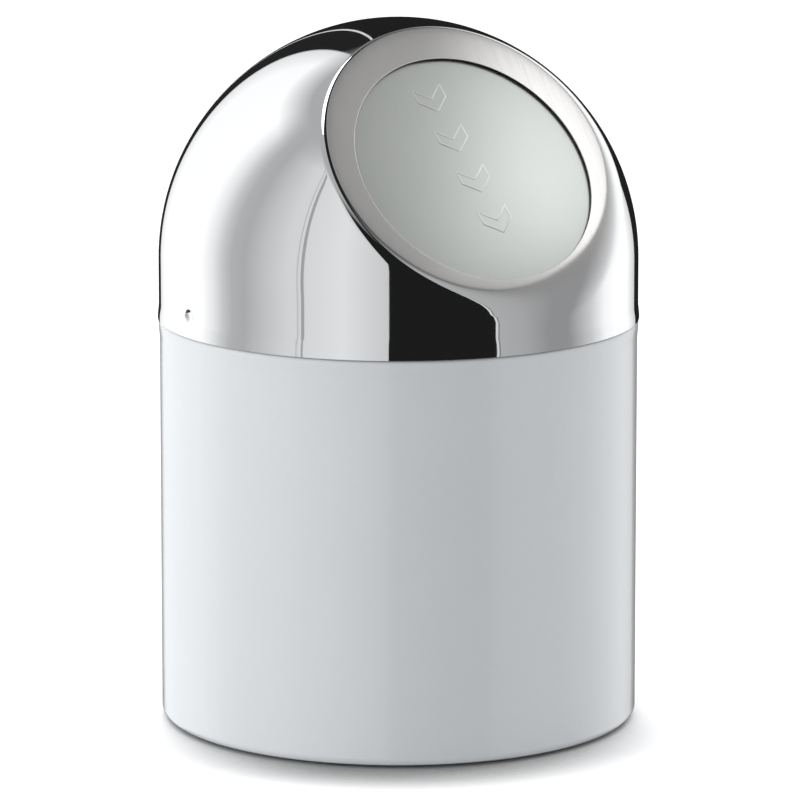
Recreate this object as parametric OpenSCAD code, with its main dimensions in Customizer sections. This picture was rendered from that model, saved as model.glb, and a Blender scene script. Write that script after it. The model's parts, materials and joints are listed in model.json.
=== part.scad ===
// Push top countertop bin: a lacquered can with a polished dome lid.
// A round spring-loaded flap sits behind a hole in the flat face of the dome.
// Millimetres, +Z up, origin on the table under the middle of the can, the flap faces -Y.

/* [Body] */
// Outer diameter of the can's straight wall
body_d = 124.6; // [112:0.2:140]
// Height of the can, from the table to the top of its mouth
body_h = 106.4; // [90:0.2:140]
// Thickness of the can's sheet
body_t = 0.5; // [0.4:0.05:0.8]
// Radius of the bead rolled inwards at the mouth
bead_r = 1.4; // [1.1:0.1:2]
// How far the bead stands out past the wall
bead_swell = 0.3; // [0:0.05:0.6]
// Height over which the wall swells out to the bead
swell_h = 6; // [3:0.5:12]
// Outer rounding at the foot
foot_round = 2.2; // [1.5:0.1:4]
// Width of the flange turned in under the floor
foot_flange_w = 10; // [7:0.5:14]

/* [Floor] */
// Thickness of the floor plate
floor_t = 0.6; // [0.4:0.1:1]
// Height of the pressed panel in the middle of the floor
floor_rise = 1; // [0.5:0.1:1.5]
// Width of the sloped step round the panel
floor_step_w = 2; // [1:0.5:4]
// Radius of each rubber pad under the foot
pad_r = 3.8; // [2.5:0.1:4.5]
// Thickness of the rubber pads
pad_t = 0.6; // [0.4:0.1:2]
// Number of rubber pads
pad_count = 4; // [4:1:4]

/* [Lid] */
// How far the dome's wall stands outside the can's wall
lid_proud = 0.2; // [0:0.05:0.4]
// Thickness of the lid's sheet
lid_t = 0.5; // [0.4:0.05:0.7]
// Height of the straight skirt, up to the centre of the dome
skirt_h = 15.2; // [13:0.2:22]
// How far the skirt flares at its lower edge
skirt_flare = 0.3; // [0:0.05:0.6]
// Height over which the skirt flares
flare_h = 4; // [2:0.5:6]
// How far the skirt's edge laps down past the top of the mouth
skirt_lap = 0.2; // [0:0.05:0.4]

/* [Flat face] */
// Angle of the face's normal above level
face_tilt = 39.5; // [35:0.5:44]
// Depth to which the face is pressed into the dome
face_depth = 15.4; // [13:0.1:17]
// Mean width of the rim between the hole and the edge of the face
rim_w = 8.1; // [7.6:0.05:9.5]
// How far the hole's centre lies below the middle of the face
hole_drop = 1.6; // [0.8:0.1:2.2]

/* [Insert ring] */
// Wall of the plastic ring
insert_t = 1.5; // [1.2:0.1:2]
// Height of the ring's band inside the skirt
insert_band_h = 11; // [9:0.5:12]
// Depth to which the ring plugs into the mouth
plug_h = 8; // [5:0.5:12]
// Height of the dimples above the mouth
dimple_up = 5.4; // [4:0.1:7]
// Radius of a dimple
dimple_r = 1.05; // [0.8:0.05:1.3]
// Depth of a dimple
dimple_depth = 0.45; // [0.3:0.05:0.6]

/* [Flap] */
// How far the flap reaches behind the rim of the hole
flap_lap = 3; // [2.5:0.1:3.2]
// Thickness of the flap
flap_t = 0.6; // [0.5:0.05:0.8]
// Room between the flap and the back of the rim
flap_gap = 0.4; // [0.3:0.05:0.5]
// How far the flap swings in
flap_swing = 70; // [50:1:75]
// Radius of the soft dots that meet the rim
bumper_r = 1.1; // [0.8:0.1:1.2]
// Number of raised arrowheads down the middle of the flap
mark_count = 4; // [2:1:5]
// Width of an arrowhead
mark_w = 9; // [6:0.5:12]
// Distance from one arrowhead to the next
mark_pitch = 12; // [9:0.5:12]
// Breadth of an arrowhead's arms
mark_arm = 4.2; // [3.5:0.1:5]
// Width of the raised outline
mark_line = 0.5; // [0.3:0.05:0.6]
// Height of the raised outline
mark_rise = 0.12; // [0.08:0.01:0.2]

/* [Hinge] */
// Radius of the hinge pin
pin_r = 1.25; // [1:0.05:1.4]
// How far the pin lies above the top of the hole
pin_up = 0.8; // [0.4:0.1:1.2]
// Depth of the pin behind the face
pin_in = 4.5; // [4.4:0.1:5]
// Room between the ears of the outer bracket
ear_span = 30; // [26:0.5:32]
// Thickness of the bracket sheet
bracket_t = 0.8; // [0.6:0.05:0.9]
// Radius of the ears round the pin
ear_r = 2.6; // [2.4:0.1:2.8]
// Length of the flap bracket's base, down the flap
flap_base_l = 14; // [12:0.5:18]
// Thickness of the flap bracket's sheet
flap_bracket_t = 0.6; // [0.5:0.05:0.7]
// Length of the toes that stop the flap's swing
toe_l = 4; // [3.8:0.1:4.4]
// Width of the toes
toe_w = 1.6; // [1.2:0.1:2]
// Wall of the bushes
bush_wall = 0.5; // [0.4:0.05:0.6]
// Thickness of the bushes' flanges
bush_flange_t = 0.7; // [0.5:0.05:1]
// Radius of the pin's head
pin_head_r = 2.1; // [1.8:0.1:2.4]
// Thickness of the pin's head
pin_head_t = 0.8; // [0.6:0.1:1.2]
// Thickness of the retaining clip
clip_t = 0.5; // [0.4:0.05:0.7]
// Outer radius of the retaining clip
clip_r = 2.3; // [2:0.1:2.5]
// Depth of the clip's groove in the pin
groove_depth = 0.3; // [0.2:0.05:0.4]

/* [Studs and nuts] */
// Radius of the weld studs
stud_r = 1; // [0.8:0.05:1.1]
// How far the studs stand out past their nuts
stud_proud = 0.8; // [0.4:0.1:1.2]
// Width of the nuts across their flats
nut_af = 4; // [3.6:0.1:4.2]
// Thickness of the nuts
nut_t = 1.6; // [1.2:0.1:1.8]
// How far the pin runs on past its clip
pin_stub = 0.5; // [0.3:0.1:1]
// Distance between the flap's studs
flap_stud_span = 17; // [16:0.5:18]

/* [Spring] */
// Diameter of the spring wire
wire_d = 0.7; // [0.6:0.05:0.75]
// Number of coils
spring_turns = 7; // [5:1:9]
// Gap between neighbouring coils
coil_gap = 0.45; // [0.42:0.01:0.6]
// Length of the leg that bears on the flap
flap_leg_l = 14; // [8:0.5:15]
// Length of the leg that bears on the outer bracket
rim_leg_l = 5.8; // [4.5:0.1:6]

/* [Clearances] */
// Gap under the lid where it rests on the mouth
lid_seat = 0.2; // [0.1:0.05:0.4]
// Gap round the plug in the mouth
plug_gap = 0.3; // [0.2:0.05:0.6]
// Gap between a piece and the piece that it is seated in
seat_gap = 0.05; // [0.03:0.01:0.1]
// Gap round the insert ring in the skirt
skirt_gap = 0.1; // [0.05:0.01:0.2]
// Radial running clearance of the pin in the bushes
run_gap = 0.05; // [0.03:0.01:0.08]
// Play of the flap along the pin, at each end
end_play = 0.15; // [0.1:0.05:0.3]
// Gap between the flap's edge and the outer bracket
flap_edge_gap = 0.6; // [0.4:0.05:0.8]
// Gap between an end of the pin and the rim's nuts
nut_gap = 0.4; // [0.3:0.05:0.6]

/* [Hidden] */

// Smoothness of round shapes, an amount that makes cuts run clear, and one past the whole lid
$fn = 96;
cut = 1;
far = 200;

// The can
body_r = body_d / 2;
mouth_r = body_r + bead_swell;
bead_x = mouth_r - bead_r;
bead_z = body_h - bead_r;
mouth_in_r = mouth_r - 2 * bead_r;
foot_x = body_r - foot_round;
floor_z = pad_t + body_t;
floor_r = foot_x - seat_gap;
panel_r = foot_x - foot_flange_w;
pad_at = foot_x - foot_flange_w / 2;

// The dome
dome_r = body_r + lid_proud;
lid_low = body_h - skirt_lap;
dome_z = body_h + skirt_h;
face_dist = dome_r - face_depth;

// Radius of the face's edge, where it meets the dome
face_r = sqrt(pow(dome_r, 2) - pow(face_dist, 2));
hole_r = face_r - rim_w;
rim_back = -lid_t;

// Slope of the arrowheads' arms
mark_slope = 0.8;

// The flap and its pin, in the face's own frame: x across, y up the slope, z outwards
flap_r = hole_r + flap_lap;
flap_front = rim_back - flap_gap;
flap_back = flap_front - flap_t;
flap_base_back = flap_back - flap_bracket_t;
pin_y = hole_r - hole_drop + pin_up;
flap_top_up = 0.5;

// The pin's places from its middle: the outer ears, the clip's groove and the tip
ear_in = ear_span / 2;
groove_at = ear_in + bracket_t + 2 * seat_gap;
groove_w = clip_t + 2 * seat_gap;
pin_tip = groove_at + groove_w + pin_stub;

// The outer bracket, its flange between the flap's edge and the end of the face, its studs clear of the pin
flange_edge = 1.8;
flange_in_r = flap_r + flap_edge_gap;
flange_out_r = face_r - flange_edge;
flange_back = rim_back - bracket_t;
nut_corner_r = nut_af / sqrt(3);
stud_x = pin_tip + nut_gap + nut_corner_r;
stud_ring_r = flange_out_r - nut_af / 2;
stud_angle = asin(stud_x / stud_ring_r);
flange_half = stud_x + nut_corner_r;
ear_top = pin_in + rim_back;
ear_root = [0.3, 3.8];

// The flap's ears and bushes along the pin
bush_out = ear_in - end_play;
flap_ear_out = bush_out - bush_flange_t - seat_gap;
flap_ear_in = flap_ear_out - bracket_t;
bush_bore_r = pin_r + run_gap;
bush_r = bush_bore_r + bush_wall;

// Turned so that a toe meets the outer bracket at the end of the swing
toe_gap = 0.15;
toe_reach = pin_in + flange_back - toe_gap;
toe_start = asin(toe_reach / norm([toe_l, toe_w / 2])) - atan(toe_w / 2 / toe_l) - flap_swing;

// The insert ring, with a lead-in on its plug and pockets for the dimples
band_r = dome_r - lid_t - skirt_gap;
plug_r = mouth_in_r - plug_gap;
insert_z = body_h + lid_seat;
lead_in = 0.6;
pocket_r = 2 * dimple_r;
pocket_depth = 2 * dimple_depth;

// The ball that presses a dimple
dimple_ball = (pow(dimple_r, 2) + pow(dimple_depth, 2)) / (2 * dimple_depth);

// The spring
coil_r = pin_in + flap_base_back - seat_gap - wire_d / 2;
coil_pitch = wire_d + coil_gap;
coil_l = spring_turns * coil_pitch;
rim_leg_lift = pin_in + flange_back - 2 * seat_gap - wire_d / 2;
rim_leg_angle = asin(rim_leg_lift / norm([rim_leg_l, coil_r])) - atan2(coil_r, rim_leg_l);
coil_rings = 8;
wire_sides = 6;

// Puts its children on the flat face, at the middle of the face
module on_face() {
    translate([0, 0, dome_z]) rotate([90 - face_tilt, 0, 0]) translate([0, 0, face_dist]) children();
}

// Puts its children on the pin, with the child's z along the pin and its x up the slope
module on_pin(across) {
    on_face() translate([across, pin_y, -pin_in]) rotate([90, 0, 90]) children();
}

module rolled_edge() {
    translate([bead_x, bead_z]) difference() {
        circle(bead_r);
        circle(bead_r - body_t);
        translate([0, -bead_r]) square([bead_r + cut, bead_r]);
    }
}

module foot_corner() {
    translate([foot_x, pad_t + foot_round]) difference() {
        circle(foot_round);
        circle(foot_round - body_t);
        translate([-foot_round - cut, -foot_round - cut]) square([foot_round + cut, 2 * foot_round + 2 * cut]);
        translate([-cut, 0]) square([foot_round + 2 * cut, foot_round + cut]);
    }
}

module body_wall() {
    polygon([
        [body_r - body_t, pad_t + foot_round],
        [body_r, pad_t + foot_round],
        [body_r, body_h - swell_h],
        [mouth_r, bead_z],
        [mouth_r - body_t, bead_z],
        [body_r - body_t, body_h - swell_h]
    ]);
}

module body_shell() {
    color("white") rotate_extrude($fn = 180) {
        body_wall();
        rolled_edge();
        foot_corner();
        translate([panel_r, pad_t]) square([foot_flange_w, body_t]);
    }
}

module base_plate() {
    low = floor_z;
    high = floor_z + floor_rise;
    step_r = panel_r - floor_step_w;
    color("gainsboro") rotate_extrude() polygon([
        [0, high],
        [step_r, high],
        [panel_r, low],
        [floor_r, low],
        [floor_r, low + floor_t],
        [panel_r, low + floor_t],
        [step_r, high + floor_t],
        [0, high + floor_t]
    ]);
}

module foot_pad(number) {
    color("dimgray") rotate([0, 0, 45 + 360 / pad_count * (number - 1)])
        translate([pad_at, 0, 0]) cylinder(r = pad_r, h = pad_t);
}

// Half section of the lid's outer form, shrunk by the inset
module lid_profile(inset, low) {
    r = dome_r - inset;
    flare_z = lid_low + flare_h;
    flare_r = r + skirt_flare * (flare_z - low) / flare_h;
    translate([0, dome_z]) intersection() {
        circle(r);
        square(r);
    }
    polygon([[0, low], [flare_r, low], [r, flare_z], [r, dome_z], [0, dome_z]]);
}

module lid_form(inset, low) {
    difference() {
        rotate_extrude() lid_profile(inset, low);
        on_face() translate([-far / 2, -far / 2, -inset]) cube(far);
    }
}

module at_dimples() {
    for (side = [-1, 1]) translate([side * (dome_r - dimple_depth + dimple_ball), 0, body_h + dimple_up]) children();
}

module lid_dome() {
    color("silver") difference() {
        union() {
            difference() {
                lid_form(0, lid_low);
                lid_form(lid_t, lid_low - cut);
                on_face() translate([0, -hole_drop, -far / 4]) cylinder(r = hole_r, h = far / 2);
            }
            intersection() {
                at_dimples() sphere(r = dimple_ball + lid_t, $fn = 48);
                translate([0, 0, body_h]) cylinder(r = dome_r - lid_t / 2, h = skirt_h);
            }
        }
        at_dimples() sphere(r = dimple_ball, $fn = 48);
    }
}

module lid_insert() {
    low = body_h - plug_h;
    top = insert_z + insert_band_h;
    color("gray") difference() {
        rotate_extrude() polygon([
            [plug_r - insert_t, low],
            [plug_r - lead_in, low],
            [plug_r, low + 2 * lead_in],
            [plug_r, insert_z],
            [band_r, insert_z],
            [band_r, top],
            [band_r - insert_t, top],
            [band_r - insert_t, insert_z + insert_t],
            [plug_r - insert_t, insert_z + insert_t]
        ]);
        for (side = [-1, 1]) translate([side * band_r, 0, body_h + dimple_up]) rotate([0, 90, 0])
            cylinder(r = pocket_r, h = 2 * pocket_depth, center = true, $fn = 48);
    }
}

// The two places on the rim's back where its studs stand
module at_rim_studs() {
    on_face() for (side = [-1, 1]) rotate([0, 0, side * stud_angle]) translate([0, stud_ring_r, 0]) children();
}

module at_flap_studs() {
    on_face() for (side = [-1, 1]) translate([side * flap_stud_span / 2, pin_y - flap_base_l * 0.7, 0]) children();
}

module nut(back) {
    translate([0, 0, back - nut_t]) difference() {
        cylinder(r = nut_corner_r, h = nut_t, $fn = 6);
        translate([0, 0, -cut]) cylinder(r = stud_r + seat_gap, h = nut_t + 2 * cut, $fn = 48);
    }
}

module stud(root, back) {
    low = back - nut_t - stud_proud;
    translate([0, 0, low]) cylinder(r = stud_r, h = root - low, $fn = 48);
}

// Side of the outer bracket's ear, round the pin
module rim_ear() {
    difference() {
        union() {
            circle(ear_r);
            polygon([[ear_root[0], ear_top], [ear_root[1], ear_top], [ear_r, 0], [0, 0]]);
        }
        circle(pin_r + seat_gap);
    }
}

module hinge_bracket() {
    color("lightslategray") {
        difference() {
            on_face() translate([0, 0, flange_back]) linear_extrude(bracket_t) intersection() {
                difference() {
                    circle(flange_out_r);
                    translate([0, -hole_drop]) circle(flange_in_r);
                }
                translate([-flange_half, 0]) square([2 * flange_half, flange_out_r + cut]);
            }
            at_rim_studs() translate([0, 0, -far / 4]) cylinder(r = stud_r + 2 * seat_gap, h = far / 2, $fn = 48);
        }
        for (at = [-ear_in - bracket_t, ear_in]) on_pin(at) linear_extrude(bracket_t) rim_ear();
    }
}

module bracket_studs() {
    color("darkgray") at_rim_studs() stud(rim_back, flange_back);
}

module bracket_nuts() {
    color("dimgray") at_rim_studs() nut(flange_back);
}

module hinge_pin() {
    head_at = -ear_in - bracket_t - seat_gap;
    color("silver") on_pin(0) difference() {
        union() {
            translate([0, 0, head_at - pin_head_t]) cylinder(r = pin_head_r, h = pin_head_t, $fn = 64);
            translate([0, 0, head_at]) cylinder(r = pin_r, h = pin_tip - head_at, $fn = 64);
        }
        translate([0, 0, groove_at]) difference() {
            cylinder(r = pin_r + cut, h = groove_w, $fn = 64);
            translate([0, 0, -cut]) cylinder(r = pin_r - groove_depth, h = groove_w + 2 * cut, $fn = 64);
        }
    }
}

module pin_clip() {
    neck_r = pin_r - groove_depth;
    color("dimgray") on_pin(ear_in + bracket_t + 3 * seat_gap) linear_extrude(clip_t) difference() {
        circle(clip_r, $fn = 64);
        circle(neck_r + seat_gap / 2, $fn = 64);
        translate([0, -neck_r * 0.8]) square([clip_r + cut, neck_r * 1.6]);
    }
}

// The middle line of the spring wire: rim leg, coils, flap leg
function coil_point(angle) = [
    coil_l * (angle / 360 / spring_turns - 0.5),
    -coil_r * sin(angle),
    coil_r * cos(angle)
];
spring_path = concat(
    [coil_point(rim_leg_angle) + rim_leg_l * [0, cos(rim_leg_angle), sin(rim_leg_angle)]],
    [for (i = [0 : spring_turns * coil_rings])
        coil_point(rim_leg_angle + i * (360 * spring_turns - rim_leg_angle) / (spring_turns * coil_rings))],
    [coil_point(360 * spring_turns) - flap_leg_l * [0, 1, 0]]
);
path_end = len(spring_path) - 1;
function along(i) =
    let (a = spring_path[max(i - 1, 0)], b = spring_path[min(i + 1, path_end)]) (b - a) / norm(b - a);
function wire_ring(i) =
    let (t = along(i), side = cross(t, [1, 0, 0]), n = side / norm(side), b = cross(t, n))
    [for (s = [0 : wire_sides - 1])
        spring_path[i] + wire_d / 2 * (n * cos(360 * s / wire_sides) + b * sin(360 * s / wire_sides))];
// Least distance between the wire's surfaces where the path comes back past itself
spring_self_gap = min([for (i = [0 : path_end]) for (j = [i + coil_rings - 2 : 1 : path_end])
    norm(spring_path[i] - spring_path[j]) - wire_d]);

module closing_spring() {
    echo(spring_self_gap = spring_self_gap);
    points = [for (i = [0 : path_end]) each wire_ring(i)];
    sides = [for (i = [0 : path_end - 1]) for (s = [0 : wire_sides - 1])
        let (a = i * wire_sides + s, b = i * wire_sides + (s + 1) % wire_sides)
        each [[a, b, b + wire_sides], [a, b + wire_sides, a + wire_sides]]];
    near_end = [for (s = [1 : wire_sides - 2]) [0, s + 1, s]];
    last = path_end * wire_sides;
    far_end = [for (s = [1 : wire_sides - 2]) [last, last + s, last + s + 1]];
    color("slategray") on_face() translate([0, pin_y, -pin_in])
        polyhedron(points, concat(near_end, sides, far_end));
}

// An arrowhead that points down the flap, drawn in by the amount given
module arrowhead(shrink) {
    half = mark_w / 2 - shrink;
    rise = mark_slope * half;
    drop = shrink * norm([1, mark_slope]);
    translate([0, (mark_arm - mark_slope * mark_w / 2) / 2]) polygon([
        [-half, rise - drop],
        [0, -drop],
        [half, rise - drop],
        [half, rise - mark_arm + drop],
        [0, drop - mark_arm],
        [-half, rise - mark_arm + drop]
    ]);
}

module flap_marks() {
    for (i = [0 : mark_count - 1]) translate([0, (mark_count / 2 - 0.5 - i) * mark_pitch, 0])
        linear_extrude(mark_rise) difference() {
            arrowhead(0);
            arrowhead(mark_line);
        }
}

module flap_plate() {
    color("lightgray") on_face() {
        translate([0, 0, flap_back]) linear_extrude(flap_t) intersection() {
            translate([0, -hole_drop]) circle(flap_r, $fn = 180);
            translate([-far / 2, -far]) square([far, far + pin_y + flap_top_up]);
        }
        translate([0, -hole_drop, flap_front]) flap_marks();
    }
}

module flap_ear() {
    back = pin_in + flap_base_back;
    difference() {
        union() {
            circle(ear_r);
            polygon([[-flap_base_l, back], [-ear_r, back], [0, ear_r], [0, -ear_r]]);
            rotate(toe_start) translate([0, -toe_w / 2]) square([toe_l, toe_w]);
        }
        circle(bush_r + seat_gap);
    }
}

module flap_bracket() {
    color("slategray") {
        difference() {
            on_face() translate([-flap_ear_out, pin_y - flap_base_l, flap_base_back])
                cube([2 * flap_ear_out, flap_base_l - ear_r, flap_bracket_t]);
            at_flap_studs() translate([0, 0, -far / 4]) cylinder(r = stud_r + 2 * seat_gap, h = far / 2, $fn = 48);
        }
        for (at = [-flap_ear_out, flap_ear_in]) on_pin(at) linear_extrude(bracket_t) flap_ear();
    }
}

module flap_studs() {
    color("darkgray") at_flap_studs() stud(flap_back, flap_base_back);
}

module flap_nuts() {
    color("dimgray") at_flap_studs() nut(flap_base_back);
}

// A flanged bush on the flap's right ear, or turned round onto its left one
module bush(side) {
    color("ivory") on_pin(0) rotate([0, 90 - 90 * side, 0]) difference() {
        union() {
            translate([0, 0, flap_ear_in - 0.5])
                cylinder(r = bush_r, h = bracket_t + 0.5 + seat_gap, $fn = 64);
            translate([0, 0, flap_ear_out + seat_gap]) cylinder(r = ear_r, h = bush_flange_t, $fn = 64);
        }
        cylinder(r = bush_bore_r, h = ear_in, $fn = 64);
    }
}

module bumper(number) {
    turn = 120 + 60 * (number - 1);
    color("whitesmoke") on_face() translate([0, -hole_drop, flap_front]) rotate([0, 0, turn])
        translate([0, hole_r + flap_lap / 2, 0]) cylinder(r = bumper_r, h = flap_gap - seat_gap, $fn = 48);
}

body_shell();
base_plate();
foot_pad(1);  // foot_pad_1
foot_pad(2);  // foot_pad_2
foot_pad(3);  // foot_pad_3
foot_pad(4);  // foot_pad_4
lid_dome();
lid_insert();
hinge_bracket();
bracket_studs();
bracket_nuts();
hinge_pin();
pin_clip();
closing_spring();
flap_plate();
flap_bracket();
flap_studs();
flap_nuts();
bush(-1);  // bush_left
bush(1);  // bush_right
bumper(1);  // bumper_1
bumper(2);  // bumper_2
bumper(3);  // bumper_3
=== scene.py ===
import bpy
import json
from math import asin, atan2, cos, hypot, pi, radians, sin, sqrt, tau
from mathutils import Matrix, Vector


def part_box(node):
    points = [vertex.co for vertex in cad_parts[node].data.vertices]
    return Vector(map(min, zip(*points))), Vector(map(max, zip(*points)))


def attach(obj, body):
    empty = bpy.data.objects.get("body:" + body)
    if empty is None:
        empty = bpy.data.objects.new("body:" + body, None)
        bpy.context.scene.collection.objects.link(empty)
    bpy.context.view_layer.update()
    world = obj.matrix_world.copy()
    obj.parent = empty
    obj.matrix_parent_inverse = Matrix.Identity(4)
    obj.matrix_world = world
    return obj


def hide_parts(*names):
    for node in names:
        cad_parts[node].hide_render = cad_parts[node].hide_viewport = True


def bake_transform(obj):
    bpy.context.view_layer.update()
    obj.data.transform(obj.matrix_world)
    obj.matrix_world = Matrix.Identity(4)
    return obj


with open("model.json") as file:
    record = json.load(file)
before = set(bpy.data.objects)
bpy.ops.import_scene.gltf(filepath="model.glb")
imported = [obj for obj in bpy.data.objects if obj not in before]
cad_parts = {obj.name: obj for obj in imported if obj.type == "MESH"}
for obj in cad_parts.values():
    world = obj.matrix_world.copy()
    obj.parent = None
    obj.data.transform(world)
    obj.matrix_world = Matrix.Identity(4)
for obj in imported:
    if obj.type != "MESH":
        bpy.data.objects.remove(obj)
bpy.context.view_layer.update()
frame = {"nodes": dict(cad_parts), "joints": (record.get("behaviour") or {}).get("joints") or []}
nodes = frame["nodes"]
mm = 0.001

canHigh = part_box("body_shell")[1]
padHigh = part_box("foot_pad_1")[1]
hingePoint = Vector(next(j for j in frame["joints"] if j["name"] == "flap_swing")["pos_m"])

# The dome and its flat face, which several pieces share. The face's round edge is edgeRound at its smallest;
# edgeWidens and edgeSoftens each add up to their length on the side opposite their angle
dome = {
    "radius": 62.5 * mm, "sheet": 0.5 * mm, "skirtHeight": 15.2 * mm, "skirtLap": 0.2 * mm,
    "flare": 0.3 * mm, "flareHeight": 4 * mm, "faceTilt": 39.5, "faceDepth": 15.4 * mm, "rimWidth": 8.1 * mm,
    "holeDrop": 1.6 * mm, "edgeRound": 1.2 * mm, "edgeWidens": (5.2 * mm, 100), "edgeSoftens": (8 * mm, 122),
    "softPower": 6, "ballTo": 158, "skirtFrom": 0.7, "flareSteps": 5, "lipRound": 0.15 * mm,
    "dimpleUp": 5.4 * mm, "dimpleWide": 2.3 * mm, "dimpleHigh": 1.9 * mm, "dimpleDepth": 0.6 * mm,
    "dimpleFiner": (4.2 * mm, 3.2 * mm, 2.4 * mm), "dimpleArea": 6 * mm,
    "steps": 288, "rings": 96, "roundSteps": 18, "flatSteps": 4,
}
tilt = radians(dome["faceTilt"])
across, upSlope, outwards = Vector((1, 0, 0)), Vector((0, sin(tilt), cos(tilt))), Vector((0, -cos(tilt), sin(tilt)))
up = Vector((0, 0, 1))
domeMid = Vector((0, 0, canHigh.z + dome["skirtHeight"]))
faceDist = dome["radius"] - dome["faceDepth"]
faceMid = domeMid + outwards * faceDist
holeMid = faceMid - upSlope * dome["holeDrop"]
holeRadius = sqrt(dome["radius"] ** 2 - faceDist ** 2) - dome["rimWidth"]
faceTurn = (tilt - pi / 2, 0, 0)  # turns a pattern into the face's own directions


def selectOnly(*pieces):
    bpy.ops.object.select_all(action="DESELECT")
    for piece in pieces:
        piece.select_set(True)
    bpy.context.view_layer.objects.active = pieces[0]


# Selects the vertices, edges or faces that pass the test and runs the edit on them
def edit(piece, kind, test, *actions):
    selectOnly(piece)
    bpy.ops.object.mode_set(mode="EDIT")
    bpy.ops.mesh.select_mode(type=kind)
    bpy.ops.mesh.select_all(action="DESELECT")
    bpy.ops.object.mode_set(mode="OBJECT")
    mesh = piece.data
    for part in {"VERT": mesh.vertices, "EDGE": mesh.edges, "FACE": mesh.polygons}[kind]:
        part.select = test(part)
    bpy.ops.object.mode_set(mode="EDIT")
    for action in actions:
        action()
    bpy.ops.object.mode_set(mode="OBJECT")


def everything(part):
    return True


# Draws a line of vertices, one after another, from a plane merged to its middle
def drawLine(name, points, closed=False):
    bpy.ops.object.select_all(action="DESELECT")
    bpy.ops.mesh.primitive_plane_add(size=mm)
    piece = bpy.context.active_object
    piece.name = name
    piece.data.name = name
    bpy.ops.object.mode_set(mode="EDIT")
    bpy.ops.mesh.select_mode(type="VERT")
    bpy.ops.mesh.select_all(action="SELECT")
    bpy.ops.mesh.merge(type="CENTER")
    bpy.ops.transform.translate(value=points[0])
    for a, b in zip(points, points[1:] + points[:1] * closed):
        bpy.ops.mesh.extrude_vertices_move(TRANSFORM_OT_translate={"value": b - a})
    bpy.ops.mesh.select_all(action="SELECT")
    bpy.ops.mesh.remove_doubles(threshold=0.002 * mm)
    bpy.ops.object.mode_set(mode="OBJECT")
    return piece


def arc(middle, radius, start, end, steps):
    turns = [radians(start + (end - start) * i / steps) for i in range(steps + 1)]
    return [(middle[0] + radius * cos(a), middle[1] + radius * sin(a)) for a in turns]


# Spins an outline of (radius, height) pairs once round an axis
def lathe(name, outline, steps, middle=Vector((0, 0, 0)), sideways=across, axis=up, closed=True):
    piece = drawLine(name, [middle + sideways * r + axis * h for r, h in outline], closed)
    edit(piece, "VERT", everything,
         lambda: bpy.ops.mesh.spin(steps=steps, angle=tau, center=middle, axis=axis),
         lambda: bpy.ops.mesh.select_all(action="SELECT"),
         lambda: bpy.ops.mesh.remove_doubles(threshold=0.004 * mm),
         lambda: bpy.ops.mesh.normals_make_consistent(inside=False))
    return piece


def finishShape(piece, modifier=None, angle=35, **settings):
    selectOnly(piece)
    if modifier:
        made = piece.modifiers.new(modifier.lower(), modifier)
        for key, value in settings.items():
            setattr(made, key, value)
        bpy.ops.object.modifier_apply(modifier=made.name)
    bpy.ops.object.shade_smooth_by_angle(angle=radians(angle))
    return piece


# Materials: noise in object coordinates moves colour, roughness and relief
def newMaterial(name):
    material = bpy.data.materials.new(name)
    material.use_nodes = True
    tree = material.node_tree
    tree.nodes.clear()
    return material, tree


def addNode(tree, kind, inputs=None, **settings):
    node = tree.nodes.new("ShaderNode" + kind)
    for key, value in settings.items():
        setattr(node, key, value)
    for key, value in (inputs or {}).items():
        if isinstance(value, bpy.types.NodeSocket):
            tree.links.new(value, node.inputs[key])
        else:
            node.inputs[key].default_value = value
    return node


def blendTwo(tree, factor, a, b, kind="RGBA"):
    slots = {"RGBA": (6, 7, 2), "FLOAT": (2, 3, 0)}[kind]
    node = addNode(tree, "Mix", {0: factor, slots[0]: a, slots[1]: b}, data_type=kind)
    return node.outputs[slots[2]]


def grey(level, warm=0.0):
    return (level * (1 + warm), level, level * (1 - warm), 1)


def makeFinish(name, pale, dark, rough, relief=0.0, scale=900, grain=(1, 1, 1), turn=(0, 0, 0), **sockets):
    material, tree = newMaterial(name)
    place = addNode(tree, "TexCoord").outputs["Object"]
    turned = addNode(tree, "Mapping", {"Vector": place, "Rotation": turn}).outputs[0]
    stretched = addNode(tree, "Mapping", {"Vector": turned, "Scale": grain}).outputs[0]
    fine = addNode(tree, "TexNoise", {"Vector": stretched, "Scale": scale, "Detail": 4}).outputs["Fac"]
    broad = addNode(tree, "TexNoise", {"Vector": place, "Scale": 45, "Detail": 2}).outputs["Fac"]
    mixed = addNode(tree, "Math", {0: fine, 1: broad}, operation="MULTIPLY").outputs[0]
    tone = addNode(tree, "MapRange", {"Value": mixed, "From Min": 0.1, "From Max": 0.42}).outputs[0]
    roughness = addNode(tree, "MapRange", {"Value": fine, "From Min": 0.3, "From Max": 0.7,
                                           "To Min": rough[0], "To Max": rough[1]}).outputs[0]
    inputs = {"Base Color": blendTwo(tree, tone, dark, pale), "Roughness": roughness, **sockets}
    if relief:
        inputs["Normal"] = addNode(tree, "Bump", {"Height": fine, "Strength": 0.5, "Distance": relief}).outputs[0]
    shader = addNode(tree, "BsdfPrincipled", inputs)
    addNode(tree, "OutputMaterial", {"Surface": shader.outputs[0]})
    return material


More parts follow.
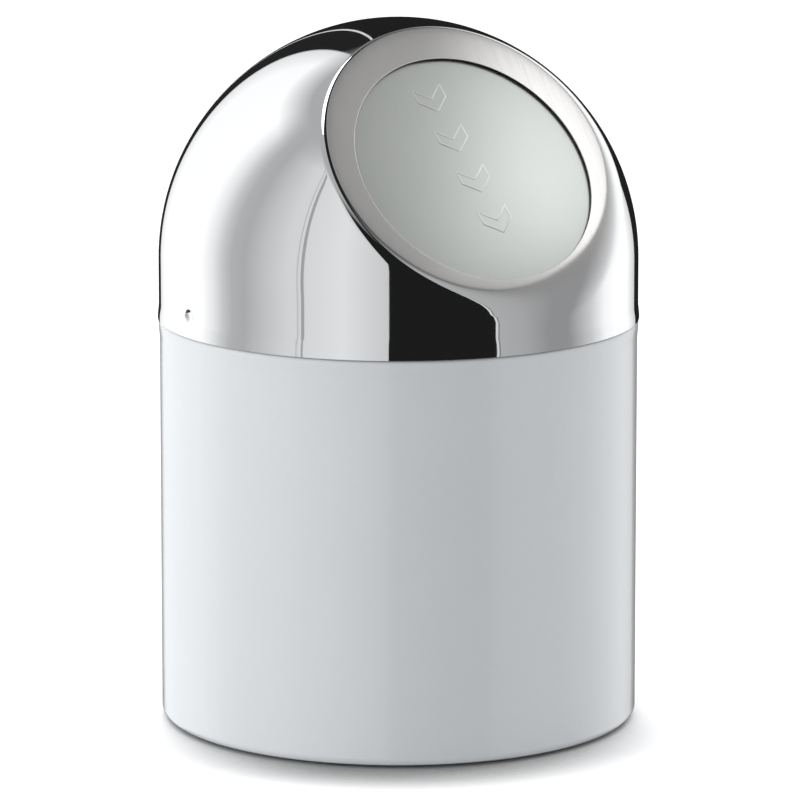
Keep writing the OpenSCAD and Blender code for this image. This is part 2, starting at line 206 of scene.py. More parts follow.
# Polished outside, satin inside a circle on the flat face; the circle's edge softens towards the lower right
def makeDomeFinish():
    look = {"polish": 0.03, "satin": 0.17, "polished": (0.788, 0.80, 0.81, 1), "satinGrey": grey(0.74, 0.012),
            "circle": 39.7 * mm, "circleUp": 1.0 * mm, "crisp": 0.06 * mm, "soft": 2.6 * mm, "softTo": 300,
            "softFrom": 0.35, "softFull": 0.9, "satinDepth": 6 * mm, "brush": (1, 0.03, 1), "brushScale": 2600,
            "hazeScale": 60, "relief": 0.0015 * mm}
    material, tree = newMaterial("polishedDome")
    place = addNode(tree, "TexCoord").outputs["Object"]
    turned = addNode(tree, "Mapping", {"Vector": place, "Rotation": faceTurn}).outputs[0]
    circleMid = faceMid + upSlope * look["circleUp"]
    local = addNode(tree, "VectorMath", {0: turned, 1: (0, circleMid.dot(upSlope), circleMid.dot(outwards))},
                    operation="SUBTRACT").outputs[0]
    flatPart = addNode(tree, "VectorMath", {0: local, 1: (1, 1, 0)}, operation="MULTIPLY").outputs[0]
    reach = addNode(tree, "VectorMath", {0: flatPart}, operation="LENGTH").outputs["Value"]
    toLowerRight = (cos(radians(look["softTo"])), sin(radians(look["softTo"])), 0)
    aside = addNode(tree, "VectorMath", {0: flatPart, 1: toLowerRight}, operation="DOT_PRODUCT").outputs["Value"]
    soft = addNode(tree, "MapRange", {
        "Value": aside, "From Min": look["circle"] * look["softFrom"], "From Max": look["circle"] * look["softFull"],
        "To Min": look["crisp"], "To Max": look["soft"]}).outputs[0]
    innerEdge = addNode(tree, "Math", {0: look["circle"], 1: soft}, operation="SUBTRACT").outputs[0]
    outerEdge = addNode(tree, "Math", {0: look["circle"], 1: soft}, operation="ADD").outputs[0]
    inCircle = addNode(tree, "MapRange", {"Value": reach, "From Min": outerEdge, "From Max": innerEdge},
                       interpolation_type="SMOOTHSTEP").outputs[0]
    height = addNode(tree, "SeparateXYZ", {"Vector": local}).outputs["Z"]
    inFront = addNode(tree, "Math", {0: height, 1: -look["satinDepth"]}, operation="GREATER_THAN").outputs[0]
    onFace = addNode(tree, "Math", {0: inCircle, 1: inFront}, operation="MULTIPLY").outputs[0]
    brushed = addNode(tree, "Mapping", {"Vector": turned, "Scale": look["brush"]}).outputs[0]
    lines = addNode(tree, "TexNoise", {"Vector": brushed, "Scale": look["brushScale"], "Detail": 5}).outputs["Fac"]
    haze = addNode(tree, "TexNoise", {"Vector": place, "Scale": look["hazeScale"], "Detail": 3}).outputs["Fac"]
    polish = addNode(tree, "MapRange", {"Value": haze, "To Min": look["polish"] * 0.6,
                                        "To Max": look["polish"] * 1.5}).outputs[0]
    satin = addNode(tree, "MapRange", {"Value": lines, "From Min": 0.3, "From Max": 0.7,
                                       "To Min": look["satin"] * 0.85, "To Max": look["satin"] * 1.2}).outputs[0]
    depth = addNode(tree, "Math", {0: lines, 1: onFace}, operation="MULTIPLY").outputs[0]
    relief = addNode(tree, "Bump", {"Height": depth, "Strength": 0.35, "Distance": look["relief"]}).outputs[0]
    shader = addNode(tree, "BsdfPrincipled", {
        "Base Color": blendTwo(tree, onFace, look["polished"], look["satinGrey"]), "Metallic": 1.0,
        "Roughness": blendTwo(tree, onFace, polish, satin, "FLOAT"), "Normal": relief})
    addNode(tree, "OutputMaterial", {"Surface": shader.outputs[0]})
    return material


polishedDome = makeDomeFinish()
insideSteel = makeFinish("insideSteel", grey(0.62), grey(0.52), (0.3, 0.42), scale=1500, Metallic=1.0)
# Painted shade: the sheet's cut edges are near-black, standing in for the shadow in the gap round the hole and in
# the seam under the skirt
paintedShadeEdge = makeFinish("paintedShadeEdge", grey(0.03), grey(0.02), (0.5, 0.65), scale=1500)
whiteLacquer = makeFinish("whiteLacquer", (0.782, 0.81, 0.835, 1), (0.768, 0.795, 0.82, 1), (0.13, 0.17),
                          relief=0.003 * mm, scale=700)
satinFlap = makeFinish("satinFlap", (0.695, 0.727, 0.70, 1), (0.67, 0.70, 0.675, 1), (0.33, 0.36),
                       relief=0.0003 * mm, scale=2600, grain=(1, 0.03, 1), turn=faceTurn, Metallic=1.0)
markGrey = makeFinish("markGrey", grey(0.88), grey(0.8), (0.3, 0.4), scale=2500, Metallic=1.0)
insertPlastic = makeFinish("insertPlastic", grey(0.06), grey(0.045), (0.42, 0.55), relief=0.02 * mm, scale=1600)
bracketSteel = makeFinish("bracketSteel", (0.66, 0.67, 0.68, 1), (0.5, 0.51, 0.53, 1), (0.28, 0.42),
                          relief=0.008 * mm, scale=800, Metallic=1.0)
fastenerSteel = makeFinish("fastenerSteel", (0.60, 0.60, 0.61, 1), (0.45, 0.45, 0.47, 1), (0.25, 0.4),
                           scale=1800, Metallic=1.0)
pinSteel = makeFinish("pinSteel", grey(0.66), grey(0.56), (0.16, 0.26), scale=1500, grain=(6, 1, 1), Metallic=1.0)
springSteel = makeFinish("springSteel", grey(0.5, 0.02), grey(0.38, 0.02), (0.22, 0.34), scale=1500, Metallic=1.0)
bushPlastic = makeFinish("bushPlastic", (0.80, 0.78, 0.72, 1), (0.76, 0.74, 0.68, 1), (0.35, 0.45),
                         relief=0.01 * mm, scale=1500)
softDot = makeFinish("softDot", grey(0.72), grey(0.66), (0.5, 0.62), relief=0.01 * mm, scale=1500)
padRubber = makeFinish("padRubber", grey(0.035), grey(0.022), (0.7, 0.85), relief=0.03 * mm, scale=1200)
floorSteel = makeFinish("floorSteel", grey(0.62), grey(0.5), (0.3, 0.45), relief=0.006 * mm, scale=500, Metallic=1.0)
print("materials made")


# The dome: outline from the hole out over the flat, round its edge and on over the sphere
def domeOutline(rounding):
    centre = (sqrt((dome["radius"] - rounding) ** 2 - (faceDist - rounding) ** 2), faceDist - rounding)
    meets = atan2(centre[0], centre[1])  # angle from the face's direction where the round ends
    steps, flatSteps = dome["roundSteps"], dome["flatSteps"]
    flat = [(holeRadius + (centre[0] - holeRadius) * k / flatSteps, faceDist) for k in range(flatSteps)]
    turn = [(centre[0] + rounding * sin(meets * k / steps), centre[1] + rounding * cos(meets * k / steps))
            for k in range(steps + 1)]
    rest = [meets + (radians(dome["ballTo"]) - meets) * k / dome["rings"] for k in range(1, dome["rings"] + 1)]
    return flat + turn + [(dome["radius"] * sin(a), dome["radius"] * cos(a)) for a in rest]


def makeDome():
    base = domeOutline(dome["edgeRound"])
    piece = lathe("domeLid", base, dome["steps"], domeMid, upSlope, outwards, closed=False)
    keys = {(round(r / mm, 2), round(h / mm, 2)): k for k, (r, h) in enumerate(base)}
    (widens, crispAt), (softens, firmAt) = dome["edgeWidens"], dome["edgeSoftens"]
    outlines = {}
    for v in piece.data.vertices:
        arm = v.co - domeMid
        x, y, h = arm.dot(across), arm.dot(upSlope), arm.dot(outwards)
        r, turn = hypot(x, y), atan2(y, x)
        k = keys.get((round(r / mm, 2), round(h / mm, 2)))
        if k is None:
            k = min(range(len(base)), key=lambda i: abs(base[i][0] - r) + abs(base[i][1] - h))
        rounding = dome["edgeRound"] + widens * (1 - cos(turn - radians(crispAt))) / 2 \
            + softens * ((1 - cos(turn - radians(firmAt))) / 2) ** dome["softPower"]
        rounding = round(rounding / mm, 3)
        if rounding not in outlines:
            outlines[rounding] = domeOutline(rounding * mm)
        r, h = outlines[rounding][k]
        away = min(1, (faceDist - h) / (faceDist - outlines[rounding][dome["roundSteps"] + dome["flatSteps"]][1]))
        drop = dome["holeDrop"] * max(0, 1 - k / dome["flatSteps"])  # the hole lies lower than the face's middle
        v.co = domeMid + across * r * cos(turn) + upSlope * (r * sin(turn) - drop) + outwards * h
        below = min(0, v.co.z - domeMid.z)  # under its middle the ball goes over into a straight skirt
        if -dome["radius"] * dome["skirtFrom"] < below < 0:
            wider = dome["radius"] / sqrt(dome["radius"] ** 2 - below ** 2) - 1
            v.co += Vector((v.co.x, v.co.y, 0)) * wider * away * away
    # cut level where the flare begins, then pulled down in steps
    low = canHigh.z - dome["skirtLap"]
    flareTop = low + dome["flareHeight"]
    edit(piece, "VERT", everything,
         lambda: bpy.ops.mesh.bisect(plane_co=(0, 0, flareTop), plane_no=(0, 0, 1), clear_inner=True,
                                     threshold=0.0001 * mm))

    def atCut(v):
        return abs(v.co.z - flareTop) < 0.003 * mm

    edit(piece, "VERT", atCut, lambda: bpy.ops.mesh.remove_doubles(threshold=0.3 * mm))
    for v in piece.data.vertices:
        if atCut(v):
            v.co = Vector((v.co.x, v.co.y, 0)).normalized() * dome["radius"] + up * flareTop
    step = (0, 0, (low - flareTop) / dome["flareSteps"])
    edit(piece, "EDGE", lambda e: all(atCut(piece.data.vertices[i]) for i in e.vertices),
         *[lambda: bpy.ops.mesh.extrude_edges_move(TRANSFORM_OT_translate={"value": step})] * dome["flareSteps"])
    for v in piece.data.vertices:
        if v.co.z < flareTop:
            share = (flareTop - v.co.z) / dome["flareHeight"]
            out = Vector((v.co.x, v.co.y, 0)).normalized()
            v.co += out * dome["flare"] * share * share * (3 - 2 * share)
    edit(piece, "VERT", everything, lambda: bpy.ops.mesh.normals_make_consistent(inside=False))
    return piece


def pressDimples(piece):
    for side in (-1, 1):
        spot = Vector((side * dome["radius"], 0, canHigh.z + dome["dimpleUp"]))
        for reach in dome["dimpleFiner"]:
            edit(piece, "FACE", lambda f: (f.center - spot).length < reach,
                 lambda: bpy.ops.mesh.subdivide(number_cuts=1))
        for v in piece.data.vertices:
            if (v.co - spot).length < dome["dimpleArea"]:
                r = hypot(v.co.x, v.co.y)
                if v.co.z > canHigh.z + dome["flareHeight"]:
                    v.co.x, v.co.y = v.co.x * dome["radius"] / r, v.co.y * dome["radius"] / r
                away = hypot(v.co.y / dome["dimpleWide"], (v.co.z - spot.z) / dome["dimpleHigh"])
                if away < 1:
                    v.co.x -= side * dome["dimpleDepth"] * (1 - away * away)


# The edge of the hole, on the outer or the inner side of the sheet
def onLip(e):
    a, b = (domeLid.data.vertices[i].co - holeMid for i in e.vertices)
    near = all(abs((p - outwards * p.dot(outwards)).length - holeRadius) < 0.02 * mm
               and p.length < holeRadius + 1 * mm for p in (a, b))
    return near and abs((a - b).dot(outwards)) < 0.1 * mm


domeLid = makeDome()
pressDimples(domeLid)
for finish in (polishedDome, insideSteel, paintedShadeEdge):
    domeLid.data.materials.append(finish)
# the rim faces take the near-black edge, a painted dark line round the hole and under the skirt
finishShape(domeLid, "SOLIDIFY", thickness=dome["sheet"], offset=-1, use_even_offset=True, material_offset=1,
            material_offset_rim=2)
edit(domeLid, "EDGE", onLip, lambda: bpy.ops.mesh.bevel(offset=dome["lipRound"], segments=3, affect="EDGES"))
finishShape(domeLid, angle=30)
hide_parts("lid_dome")
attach(domeLid, "lid")
print("dome made", len(domeLid.data.polygons))

# The can: outside from the foot's flange up the wall, over the rolled bead and back down the inside
can = {
    "radius": 62.3 * mm, "sheet": 0.5 * mm, "beadRadius": 1.4 * mm, "beadSwell": 0.3 * mm, "swellHeight": 6 * mm,
    "footRound": 2.2 * mm, "footFlange": 10 * mm, "steps": 288, "wallSteps": 8, "beadFrom": 10, "beadTo": 262,
}


def canOutline():
    r, t, low = can["radius"], can["sheet"], padHigh.z
    footX, footZ = r - can["footRound"], low + can["footRound"]
    beadX, beadZ = r + can["beadSwell"] - can["beadRadius"], canHigh.z - can["beadRadius"]
    swellZ, n = canHigh.z - can["swellHeight"], can["wallSteps"]
    rise = [(can["beadSwell"] * (0.5 - 0.5 * cos(pi * k / n)), swellZ + (beadZ - swellZ) * k / n)
            for k in range(n + 1)]
    wall = [footZ + (swellZ - footZ) * k / n for k in range(1, n)]
    outside = [(footX - can["footFlange"], low)] + arc((footX, footZ), can["footRound"], -90, 0, 10)
    outside += [(r, z) for z in wall] + [(r + x, z) for x, z in rise]
    outside += arc((beadX, beadZ), can["beadRadius"], can["beadFrom"], can["beadTo"], 26)
    inside = arc((beadX, beadZ), can["beadRadius"] - t, can["beadTo"], can["beadFrom"], 20)
    inside += [(r - t + x, z) for x, z in rise[::-1]] + [(r - t, z) for z in wall[::-1]]
    inside += arc((footX, footZ), can["footRound"] - t, 0, -90, 8) + [(footX - can["footFlange"], low + t)]
    return outside + inside


canShell = lathe("canShell", canOutline(), can["steps"])
canShell.data.materials.append(whiteLacquer)
finishShape(canShell, angle=40)
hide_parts("body_shell")
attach(canShell, "can")
print("can made", len(canShell.data.polygons))

# The flap: a disc cut straight at its top, with raised arrowheads down its middle
flap = {
    "lap": 3 * mm, "sheet": 0.6 * mm, "gap": 0.4 * mm, "topUp": 0.5 * mm, "edgeRound": 0.14 * mm, "inset": 2 * mm,
    "markCount": 4, "markWidth": 9 * mm, "markPitch": 12.4 * mm, "markArm": 4.2 * mm, "markSlope": 0.8,
    "markLine": 0.4 * mm, "markRise": 0.07 * mm, "markFirst": (-3.8 * mm, 21.7 * mm), "markTurn": 8.3,
    "markSunk": 0.05 * mm, "markEase": 0.03 * mm,
}
flapFront = holeMid - outwards * (dome["sheet"] + flap["gap"])


def makeFlap():
    radius, half = holeRadius + flap["lap"], flap["sheet"] / 2
    bpy.ops.object.select_all(action="DESELECT")
    bpy.ops.mesh.primitive_cylinder_add(vertices=256, radius=radius, depth=flap["sheet"], end_fill_type="NGON",
                                        location=flapFront - outwards * half, rotation=(pi / 2 - tilt, 0, 0))
    disc = bpy.context.active_object
    disc.name = "flapDisc"
    bpy.ops.object.transform_apply(location=True, rotation=True, scale=True)
    top = hingePoint + upSlope * flap["topUp"]
    edit(disc, "VERT", everything,
         lambda: bpy.ops.mesh.bisect(plane_co=top, plane_no=upSlope, clear_outer=True, use_fill=True))
    edit(disc, "FACE", lambda f: abs(f.normal.dot(outwards)) > 0.9,
         lambda: bpy.ops.mesh.bevel(offset=flap["edgeRound"], segments=2, affect="EDGES"))
    edit(disc, "FACE", lambda f: abs(f.normal.dot(outwards)) > 0.999,
         lambda: bpy.ops.mesh.inset(thickness=flap["inset"]))
    edit(disc, "VERT", everything, lambda: bpy.ops.mesh.normals_make_consistent(inside=False))
    return finishShape(disc, angle=25)


def makeMarks():
    w, arm, s = flap["markWidth"] / 2, flap["markArm"], flap["markSlope"]
    corners = [(-w, s * w), (0, 0), (w, s * w), (w, s * w - arm), (0, -arm), (-w, s * w - arm)]
    lean = Matrix.Rotation(radians(flap["markTurn"]), 3, outwards)
    sideways, upwards = lean @ across, lean @ upSlope
    first = flapFront + across * flap["markFirst"][0] + upSlope * flap["markFirst"][1] + upwards * (arm - s * w) / 2
    mark = drawLine("flapMarks", [first + sideways * x + upwards * y for x, y in corners], closed=True)
    edit(mark, "VERT", everything, lambda: bpy.ops.mesh.edge_face_add())
    edit(mark, "FACE", everything, lambda: bpy.ops.mesh.inset(thickness=flap["markLine"]),
         lambda: bpy.ops.mesh.delete(type="FACE"))
    sunk = flap["markSunk"]
    edit(mark, "FACE", everything, lambda: bpy.ops.transform.translate(value=outwards * -sunk),
         lambda: bpy.ops.mesh.extrude_region_move(
             TRANSFORM_OT_translate={"value": outwards * (flap["markRise"] + sunk)}))
    edit(mark, "VERT", everything, lambda: bpy.ops.mesh.normals_make_consistent(inside=False))
    finishShape(mark, "BEVEL", angle=30, width=flap["markEase"], segments=2, limit_method="ANGLE")
    marks = [mark]
    for i in range(1, flap["markCount"]):
        other = mark.copy()
        other.data = mark.data.copy()
        bpy.context.scene.collection.objects.link(other)
        other.location = -upwards * flap["markPitch"] * i
        marks.append(other)
    selectOnly(*marks)
    bpy.ops.object.join()
    return mark


flapDisc = makeFlap()
flapDisc.data.materials.append(satinFlap)
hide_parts("flap_plate")
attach(flapDisc, "flap")
flapMarks = makeMarks()
flapMarks.data.materials.append(markGrey)
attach(flapMarks, "flap")
print("flap made")

# The closing spring: one round wire from the rim's leg through its coils to the flap's leg
spring = {
    "wire": 0.7 * mm, "turns": 7, "gap": 0.45 * mm, "coilRadius": 2.0 * mm, "flapLeg": 14 * mm,
    "rimLeg": 5.8 * mm, "rimLegLift": 2.75 * mm, "pointsPerTurn": 20,
}


def makeSpring():
    length = spring["turns"] * (spring["wire"] + spring["gap"])
    coil = spring["coilRadius"]
    start = asin(spring["rimLegLift"] / hypot(spring["rimLeg"], coil)) - atan2(coil, spring["rimLeg"])
    end = tau * spring["turns"]

    def at(turn):
        aside = across * length * (turn / end - 0.5)
        return hingePoint + aside - upSlope * coil * sin(turn) + outwards * coil * cos(turn)

    count = spring["turns"] * spring["pointsPerTurn"]
    path = [at(start) + (upSlope * cos(start) + outwards * sin(start)) * spring["rimLeg"]]
    path += [at(start + (end - start) * k / count) for k in range(count + 1)]
    path += [at(end) - upSlope * spring["flapLeg"]]
    wire = drawLine("closingCoil", path)
    selectOnly(wire)
    bpy.ops.object.convert(target="CURVE")
    wire.data.bevel_depth = spring["wire"] / 2
    wire.data.bevel_resolution = 3
    wire.data.use_fill_caps = True
    bpy.ops.object.convert(target="MESH")
    edit(wire, "VERT", everything, lambda: bpy.ops.mesh.remove_doubles(threshold=0.002 * mm),
         lambda: bpy.ops.mesh.normals_make_consistent(inside=False))
    finishShape(wire, angle=50)
    return wire, length / 2


closingCoil, coilHalf = makeSpring()
closingCoil.data.materials.append(springSteel)
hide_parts("closing_spring")
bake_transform(closingCoil)
print("spring made")


# Inner parts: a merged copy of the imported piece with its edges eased
def ease(node, name, body, slotName, material, width):
    source = nodes[node]
    piece = source.copy()
    piece.data = source.data.copy()
    piece.name = piece.data.name = name
    piece.parent = None
    piece.matrix_world = Matrix.Identity(4)
    for key in list(piece.keys()):
        del piece[key]
    bpy.context.scene.collection.objects.link(piece)
    piece.data.materials.clear()
    piece.data.materials.append(material)
    edit(piece, "VERT", everything, lambda: bpy.ops.mesh.remove_doubles(threshold=0.001 * mm),
         lambda: bpy.ops.mesh.dissolve_limited(angle_limit=radians(0.6)))
    finishShape(piece, "BEVEL", width=width, segments=2, limit_method="ANGLE", angle_limit=radians(50),
                use_clamp_overlap=True)
    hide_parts(node)
    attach(piece, body)


inner = [
    ("lid_insert", "insertRing", "lid", "insert_plastic", insertPlastic, 0.2 * mm),
    ("base_plate", "floorPlate", "can", "floor_steel", floorSteel, 0.1 * mm),
    ("hinge_bracket", "outerBracket", "lid", "bracket_steel", bracketSteel, 0.08 * mm),
    ("flap_bracket", "flapBracket", "flap", "bracket_steel", bracketSteel, 0.08 * mm),
    ("bracket_studs", "rimStuds", "lid", "fastener_steel", fastenerSteel, 0.12 * mm),
    ("bracket_nuts", "rimNuts", "lid", "fastener_steel", fastenerSteel, 0.12 * mm),
    ("flap_studs", "flapStuds", "flap", "fastener_steel", fastenerSteel, 0.12 * mm),
    ("flap_nuts", "flapNuts", "flap", "fastener_steel", fastenerSteel, 0.12 * mm),
    ("hinge_pin", "hingePin", "lid", "pin_steel", pinSteel, 0.12 * mm),
    ("pin_clip", "pinClip", "lid", "pin_steel", pinSteel, 0.05 * mm),
    ("bush_left", "bushLeft", "flap", "bush_plastic", bushPlastic, 0.08 * mm),
    ("bush_right", "bushRight", "flap", "bush_plastic", bushPlastic, 0.08 * mm),
]
inner += [(f"bumper_{i}", f"softDot{i}", "flap", "bumper_silicone", softDot, 0.1 * mm) for i in (1, 2, 3)]
inner += [(f"foot_pad_{i}", f"footPad{i}", "can", "pad_rubber", padRubber, 0.15 * mm) for i in (1, 2, 3, 4)]
for row in inner:
    ease(*row)
print("inner parts made")

# Camera at the photograph's angle
shot = {"place": Vector((-0.8813, -1.4726, 0.4299)), "down": 11.41, "right": 0.0128, "lens": 301.14,
        "sensor": 36, "near": 0.05, "far": 20}
lens = bpy.data.cameras.new("studioCamera")
lens.lens, lens.sensor_width = shot["lens"], shot["sensor"]
lens.clip_start, lens.clip_end = shot["near"], shot["far"]
camera = bpy.data.objects.new("studioCamera", lens)
bpy.context.scene.collection.objects.link(camera)
bpy.context.scene.camera = camera
heading = atan2(-shot["place"].x, -shot["place"].y) + radians(shot["right"])
camera.location = shot["place"]
camera.rotation_euler = (pi / 2 - radians(shot["down"]), 0, -heading)

# The studio: a white floor, soft lamps that light it, and a tent of panels that only the polished metal shows
studio = {
    "ambient": 0.595, "floorSize": 8, "floorPale": 0.85, "tentRadius": 4, "tentMiddle": 0.12,
    # what the camera sees of the floor: white, with a painted shadow that darkens its colour where the bin's foot
    # closes it in, over the real shadow; it is looked for on the side away from the camera, so that the painted
    # shadow stays narrow
    "floorShown": 1.8, "contactShown": 0.3, "contactReach": 34 * mm, "contactFrom": 0.45, "contactTo": 0.8,
    "contactRise": 0.25,
    # angle from the camera, to the right, and the soft panels' brightness there
    "panels": [(-180, 0.02), (-162, 0.02), (-161, 0.9), (-150, 1.2), (-109, 1.3), (-99, 1.0), (-92, 0.70),
               (-86, 0.54), (-78, 0.50), (-66, 0.66), (-54, 0.80), (-46, 0.82), (-26, 0.92), (-10, 0.76),
               (-4, 0.70), (50, 0.50), (62, 0.46), (76, 0.34), (88, 0.34), (104, 0.72), (116, 1.15),
               (124, 1.22), (127, 1.35), (140, 1.25), (150, 0.85), (180, 0.02)],
    # cards with sharp edges: from, to, brightness; the ones behind lean outwards off the horizon
    "cards": [(-4.4, 46.8, 0.014), (46.8, 48.0, 0.80), (48.0, 48.7, 0.22), (-48.9, -48.2, 0.60),
              (-46.8, -45.2, 0.42), (151.5, 180, 0.016), (-180, -173.2, 0.016), (-173.2, -172.5, 0.8),
              (-172.5, -161.3, 0.02)],
    "lean": 21, "leanFrom": 100,
    # above the panels: the ceiling, parts of it between two angles, and a bright hatch straight up
    "fadeFrom": 45, "fadeTo": 58, "ceiling": 0.50,
    "ceilingParts": [(34, 112, 0.02), (112, 180, 0.2), (-180, -162, 0.3)], "hatchFrom": 75, "hatch": 3,
    # below them: a dark table
    "tableFrom": -28, "table": 0.06,
    # lamps: name, angle from the camera, height, distance, size, power
    "lamps": [("leftLamp", -82, 0.35, 1.3, 0.9, 9), ("rightLamp", 112, 0.35, 1.3, 0.7, 3.8)], "lampAim": 0.1,
    "faceCard": {"away": 0.09, "radius": 45 * mm, "low": 0.44, "high": 1.5, "dimAt": -15 * mm, "brightAt": 22 * mm,
                 "bottom": -40 * mm, "lifted": -26 * mm},
}


# Gives a panel its light, which only reflections show
def lightUp(piece, material, tree, inputs):
    glow = addNode(tree, "Emission", inputs)
    addNode(tree, "OutputMaterial", {"Surface": glow.outputs[0]})
    piece.data.materials.append(material)
    material.cycles.emission_sampling = "NONE"
    piece.visible_camera = piece.visible_diffuse = piece.visible_shadow = piece.visible_transmission = False


def makeTent():
    bpy.ops.object.select_all(action="DESELECT")
    bpy.ops.mesh.primitive_uv_sphere_add(segments=96, ring_count=48, radius=studio["tentRadius"],
                                         location=(0, 0, studio["tentMiddle"]))
    tent = bpy.context.active_object
    tent.name = "lightTent"
    bpy.ops.object.shade_smooth()
    material, tree = newMaterial("lightTent")
    place = addNode(tree, "TexCoord").outputs["Object"]
    unit = addNode(tree, "VectorMath", {0: place}, operation="NORMALIZE").outputs[0]
    turned = addNode(tree, "Mapping", {"Vector": unit, "Rotation": (0, 0, pi / 2 + heading)}).outputs[0]
    axes = addNode(tree, "SeparateXYZ", {"Vector": turned})
    angle = addNode(tree, "Math", {0: axes.outputs["Y"], 1: axes.outputs["X"]}, operation="ARCTAN2").outputs[0]
    share = addNode(tree, "MapRange", {"Value": angle, "From Min": -pi, "From Max": pi}).outputs[0]
    ramp = addNode(tree, "ValToRGB", {"Fac": share})
    ramp.color_ramp.interpolation = "LINEAR"
    stops = ramp.color_ramp.elements
    while len(stops) > 1:
        stops.remove(stops[0])
    for i, (turn, level) in enumerate(studio["panels"]):
        stop = stops[0] if i == 0 else stops.new((turn + 180) / 360)
        stop.position = (turn + 180) / 360
        stop.color = grey(level)

    behind = addNode(tree, "Math", {0: angle, 1: radians(studio["leanFrom"])}, operation="GREATER_THAN").outputs[0]
    fromHorizon = addNode(tree, "Math", {0: axes.outputs["Z"]}, operation="ABSOLUTE").outputs[0]
    shift = addNode(tree, "Math", {0: behind, 1: fromHorizon}, operation="MULTIPLY").outputs[0]
    leaning = addNode(tree, "Math", {0: shift, 1: -radians(studio["lean"]), 2: angle},
                      operation="MULTIPLY_ADD").outputs[0]

    def between(shown, start, end, level, angle=angle):
        inside = addNode(tree, "Math", {0: angle, 1: radians((start + end) / 2), 2: radians((end - start) / 2)},
                         operation="COMPARE").outputs[0]
        return blendTwo(tree, inside, shown, grey(level))

    shown, ceiling = ramp.outputs["Color"], grey(studio["ceiling"])
    for row in studio["cards"]:
        shown = between(shown, *row, leaning)
    for row in studio["ceilingParts"]:
        ceiling = between(ceiling, *row)
    fade = addNode(tree, "MapRange", {"Value": axes.outputs["Z"], "From Min": sin(radians(studio["fadeFrom"])),
                                      "From Max": sin(radians(studio["fadeTo"]))}).outputs[0]
    shown = blendTwo(tree, fade, shown, ceiling)
    overhead = addNode(tree, "Math", {0: axes.outputs["Z"], 1: sin(radians(studio["hatchFrom"]))},
                       operation="GREATER_THAN").outputs[0]
    shown = blendTwo(tree, overhead, shown, grey(studio["hatch"]))
    beneath = addNode(tree, "Math", {0: axes.outputs["Z"], 1: sin(radians(studio["tableFrom"]))},
                      operation="LESS_THAN").outputs[0]
    shown = blendTwo(tree, beneath, shown, grey(studio["table"]))
    lightUp(tent, material, tree, {"Color": shown})
    return tent


# A round card in front of the satin face, as big as the face and parallel to it, half dim and half bright
def makeFaceCard():
    card = studio["faceCard"]
    look = (faceMid - shot["place"]).normalized()
    bounce = look - outwards * 2 * look.dot(outwards)
    right = Vector((cos(heading), -sin(heading), 0))
    bpy.ops.object.select_all(action="DESELECT")
    bpy.ops.mesh.primitive_circle_add(vertices=96, radius=card["radius"], fill_type="NGON")
    piece = bpy.context.active_object
    piece.name = "faceCard"
    piece.matrix_world = Matrix.Translation(faceMid + bounce * card["away"]) \
        @ Matrix((across, upSlope, outwards)).transposed().to_4x4()
    material, tree = newMaterial("faceCard")
    place = addNode(tree, "TexCoord").outputs["Object"]
    aside = addNode(tree, "VectorMath", {0: place, 1: (right.dot(across), right.dot(upSlope), 0)},
                    operation="DOT_PRODUCT").outputs["Value"]
    brighter = addNode(tree, "MapRange", {"Value": aside, "From Min": card["dimAt"], "From Max": card["brightAt"]},
                       interpolation_type="SMOOTHSTEP").outputs[0]
    y = addNode(tree, "SeparateXYZ", {"Vector": place}).outputs["Y"]
    lifted = addNode(tree, "MapRange", {"Value": y, "From Min": card["bottom"], "From Max": card["lifted"]},
                     interpolation_type="SMOOTHSTEP").outputs[0]
    both = addNode(tree, "Math", {0: brighter, 1: lifted}, operation="MULTIPLY").outputs[0]
    level = blendTwo(tree, both, card["low"], card["high"], "FLOAT")
    lightUp(piece, material, tree, {"Strength": level})
    return piece


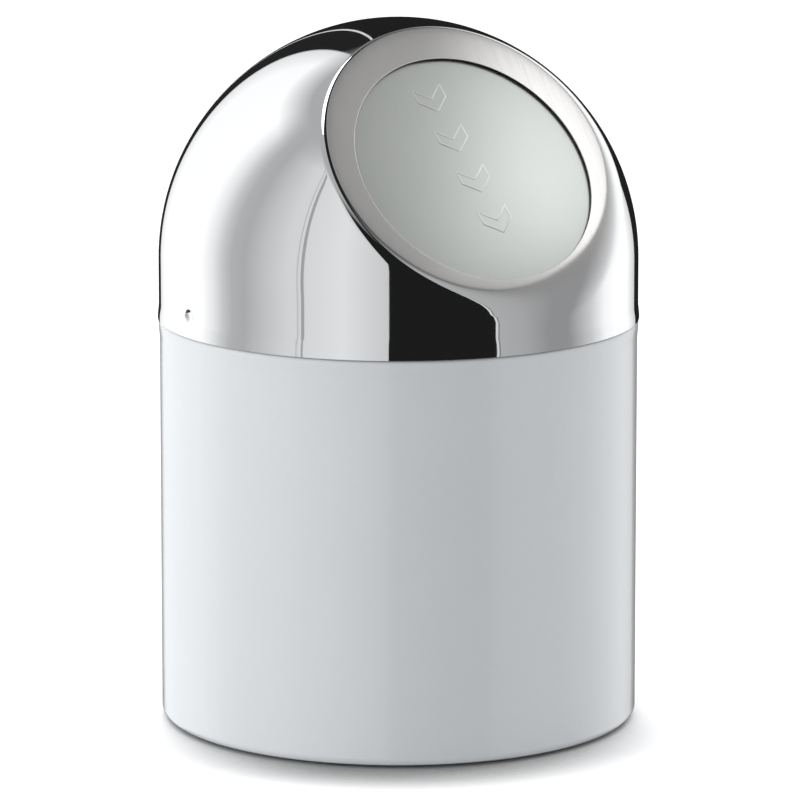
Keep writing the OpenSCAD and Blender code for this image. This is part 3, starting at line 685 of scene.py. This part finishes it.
def makeFloor():
    bpy.ops.object.select_all(action="DESELECT")
    bpy.ops.mesh.primitive_plane_add(size=studio["floorSize"])
    floor = bpy.context.active_object
    floor.name = "studioFloor"
    material, tree = newMaterial("whiteFloor")
    rays = addNode(tree, "LightPath")
    plain = addNode(tree, "BsdfDiffuse", {"Color": grey(studio["floorPale"])})
    away = addNode(tree, "CombineXYZ", {0: sin(heading), 1: cos(heading), 2: studio["contactRise"]}).outputs[0]
    # painted shadow: occlusion near the foot darkens the floor's colour for camera rays
    openness = addNode(tree, "AmbientOcclusion", {"Distance": studio["contactReach"], "Normal": away},
                       samples=16).outputs["AO"]
    tone = addNode(tree, "MapRange", {
        "Value": openness, "From Min": studio["contactFrom"], "From Max": studio["contactTo"],
        "To Min": studio["contactShown"], "To Max": studio["floorShown"]}).outputs[0]
    shown = addNode(tree, "BsdfDiffuse", {"Color": tone})
    both = addNode(tree, "MixShader", {0: rays.outputs["Is Camera Ray"], 1: plain.outputs[0], 2: shown.outputs[0]})
    addNode(tree, "OutputMaterial", {"Surface": both.outputs[0]})
    floor.data.materials.append(material)
    floor.visible_glossy = False
    return floor


def makeLamp(name, angle, height, distance, size, power):
    turn = radians(angle) - pi / 2 - heading
    place = Vector((cos(turn) * distance, sin(turn) * distance, height))
    data = bpy.data.lights.new(name, "AREA")
    data.shape, data.size, data.energy = "SQUARE", size, power
    lamp = bpy.data.objects.new(name, data)
    bpy.context.scene.collection.objects.link(lamp)
    lamp.location = place
    lamp.rotation_euler = (up * studio["lampAim"] - place).to_track_quat("-Z", "Y").to_euler()
    lamp.visible_glossy = lamp.visible_camera = False


world = bpy.data.worlds.new("studioWorld")
bpy.context.scene.world = world
world.use_nodes = True
sky = world.node_tree
sky.nodes.clear()
skyRays = addNode(sky, "LightPath")
seen = skyRays.outputs["Is Camera Ray"]
for ray in ("Is Glossy Ray", "Is Transmission Ray"):
    seen = addNode(sky, "Math", {0: seen, 1: skyRays.outputs[ray]}, operation="MAXIMUM").outputs[0]
strength = blendTwo(sky, seen, studio["ambient"], 1.0, "FLOAT")
backdrop = addNode(sky, "Background", {"Strength": strength, "Color": grey(1)})
addNode(sky, "OutputWorld", {"Surface": backdrop.outputs[0]})

tent = makeTent()
floor = makeFloor()
faceCard = makeFaceCard()
for row in studio["lamps"]:
    makeLamp(*row)
bpy.context.scene.view_settings.view_transform = "Standard"
print("studio made")
